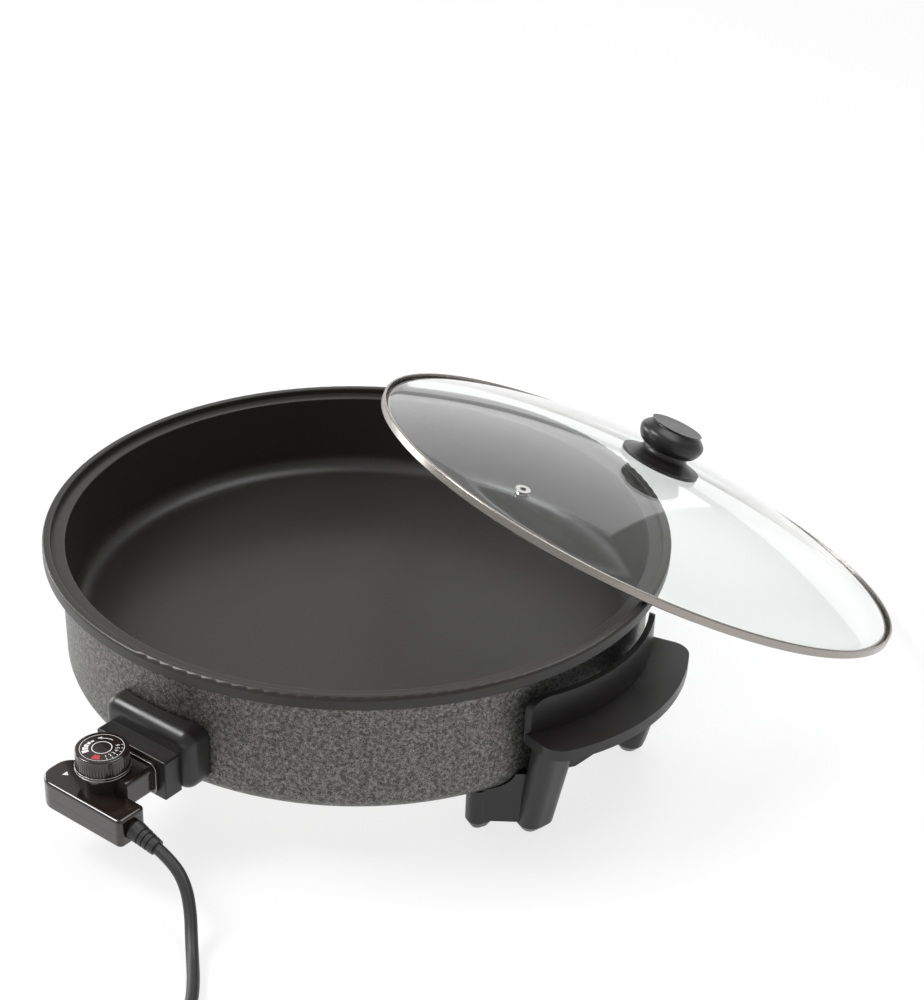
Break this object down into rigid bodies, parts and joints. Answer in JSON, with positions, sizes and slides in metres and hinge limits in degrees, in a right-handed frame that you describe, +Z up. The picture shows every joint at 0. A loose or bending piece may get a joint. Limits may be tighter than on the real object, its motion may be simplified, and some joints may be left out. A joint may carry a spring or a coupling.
{
  "type": "electric griddle",
  "caption": "Round deep electric griddle: cast pan on two leg handles, plug-in thermostat with dial and lead, domed glass lid with a knob leaning on its rim.",
  "frame": {"origin": "middle of the cooking surface, on the pan's axis", "axes": "+Z up, -Y towards the thermostat plug, the handles along X"},
  "size_m": [0.5701, 0.8175, 0.1707],
  "materials": {
    "pan_coating": "cast aluminium, hammered grey lacquer outside, satin dark non-stick coating inside and on the rim",
    "steel": "polished or plated steel",
    "element_sheath": "oxidised steel sheath",
    "ceramic": "matt ceramic",
    "spring_bronze": "plain spring metal",
    "bakelite": "satin black phenolic moulding",
    "gloss_black": "glossy black-brown phenolic moulding",
    "cord_rubber": "matt dark grey flexible sheath",
    "glass": "clear tempered glass",
    "gasket": "matt silicone"
  },
  "bodies": {
    "pan": {"pan_shell": "pan_coating", "base_posts": "steel", "base_cover": "steel", "base_screws": "steel", "heating_element": "element_sheath", "element_insulators": "ceramic", "terminal_pins": "steel", "probe_well": "steel", "socket_shroud": "bakelite", "shroud_screws": "steel", "handle_right": "bakelite", "handle_left": "bakelite", "handle_screws": "steel"},
    "thermostat": {"thermostat_base": "gloss_black", "thermostat_cover": "gloss_black", "housing_screws": "steel", "contact_carrier": "ceramic", "contact_sleeves": "spring_bronze", "sensor_probe": "steel", "thermostat_frame": "steel", "switch_blades": "spring_bronze", "blade_spacers": "gasket", "switch_contacts": "spring_bronze", "strain_relief": "cord_rubber", "power_cord": "cord_rubber", "cord_coil": "cord_rubber", "coil_tie": "cord_rubber", "cord_tail": "cord_rubber", "plug_body": "cord_rubber", "plug_pins": "steel", "plug_earth_clips": "steel"},
    "dial": {"dial_knob": "gloss_black", "dial_face": "gloss_black", "dial_spindle": "steel", "spindle_clip": "steel"},
    "lid": {"lid_glass": "glass", "lid_rim": "steel", "vent_grommet": "steel", "knob_base": "gloss_black", "lid_knob": "gloss_black", "knob_screw": "steel", "knob_washer": "gasket"}
  },
  "joints": [
    {"name": "plug_out", "type": "slide", "parent": "pan", "child": "thermostat", "axis": [0, -1, 0], "range_m": [0, 0.12]},
    {"name": "dial_turn", "type": "hinge", "parent": "thermostat", "child": "dial", "pos_m": [0.005, -0.2395, 0.0015], "axis": [0, 0, 1], "range_deg": [0, 280]},
    {"name": "lid_lift", "type": "slide", "parent": "pan", "child": "lid", "axis": [0, 0, 1], "range_m": [0, 0.25]}
  ]
}
